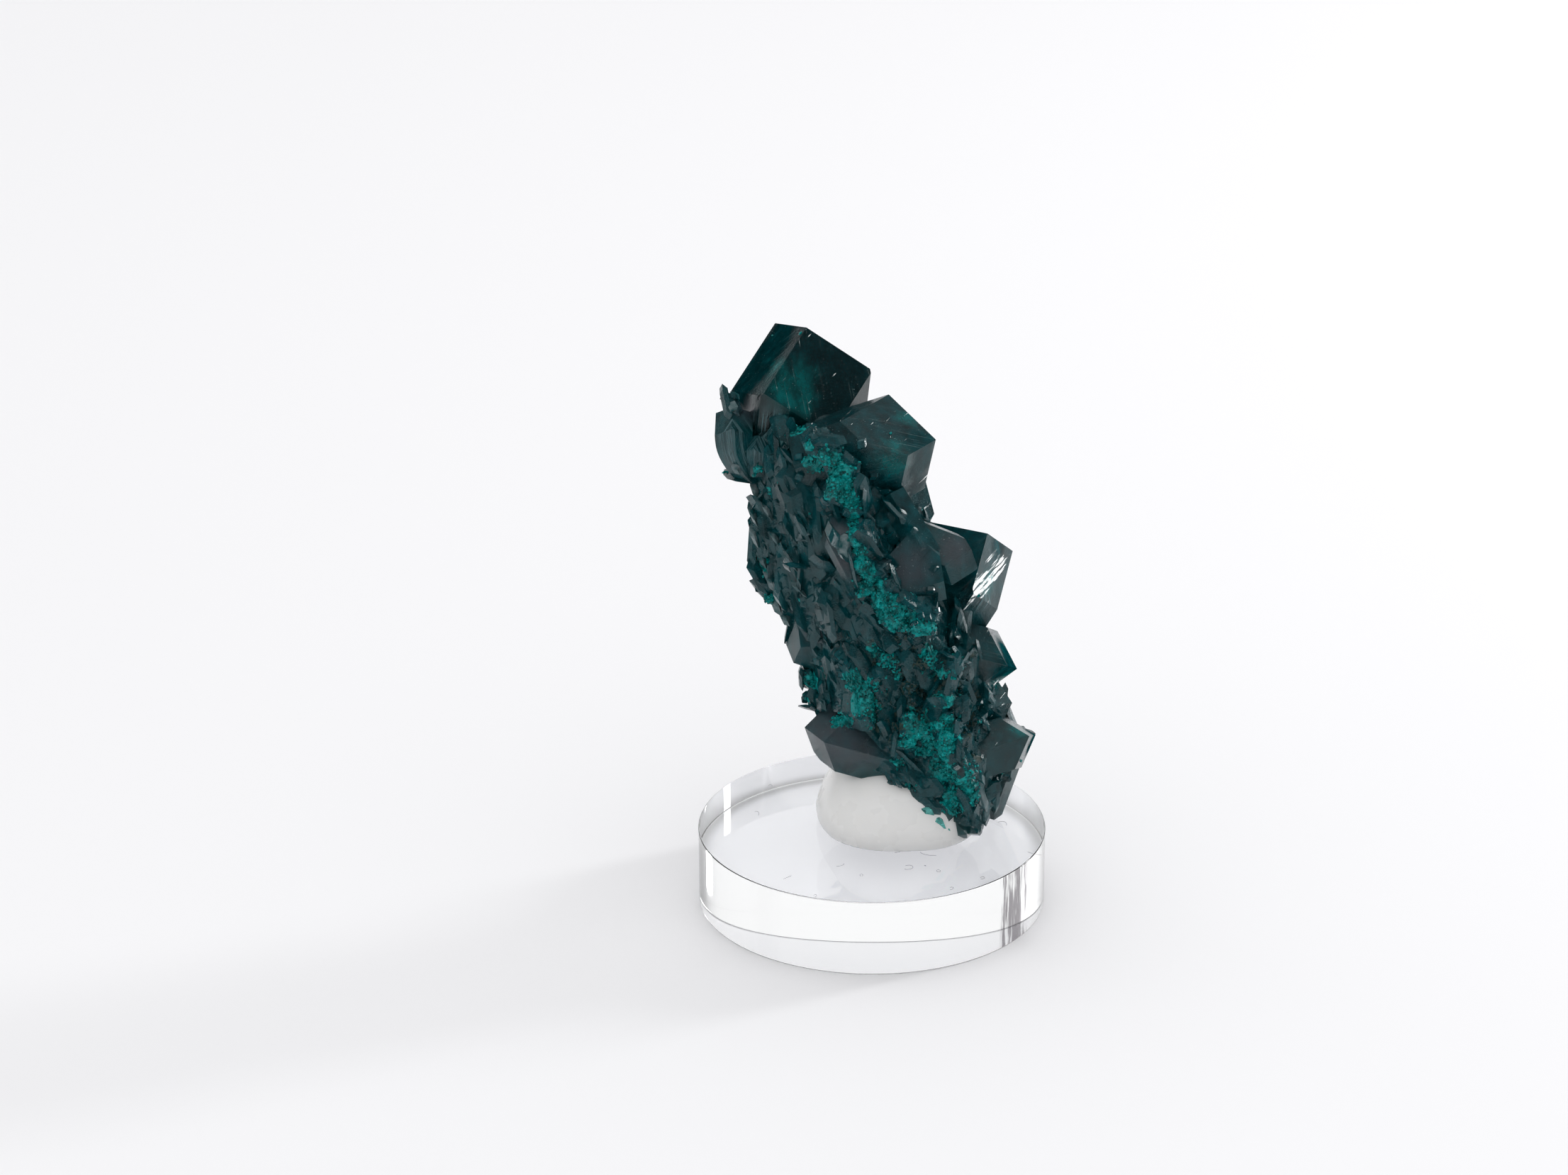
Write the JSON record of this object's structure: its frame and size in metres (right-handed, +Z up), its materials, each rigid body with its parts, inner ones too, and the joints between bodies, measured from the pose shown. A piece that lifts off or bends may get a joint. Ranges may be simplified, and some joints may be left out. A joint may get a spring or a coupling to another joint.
{
  "type": "dioptase crystal cluster on a base",
  "caption": "Dark emerald cluster of prismatic dioptase crystals, standing on a corner in milky putty on a round clear acrylic base.",
  "frame": {"origin": "centre of the underside of the acrylic base", "axes": "+Z up out of the base, -Y towards the viewer of the picture, +X to the right of the picture"},
  "size_m": [0.0254, 0.026, 0.0421],
  "materials": {
    "dioptase": "vitreous crystal faces with sugary broken seams",
    "milky_putty": "smooth and slightly glossy",
    "clear_acrylic": "polished clear acrylic"
  },
  "bodies": {
    "root": {"dioptase_cluster": "dioptase", "mounting_putty": "milky_putty", "acrylic_base": "clear_acrylic"}
  },
  "joints": []
}
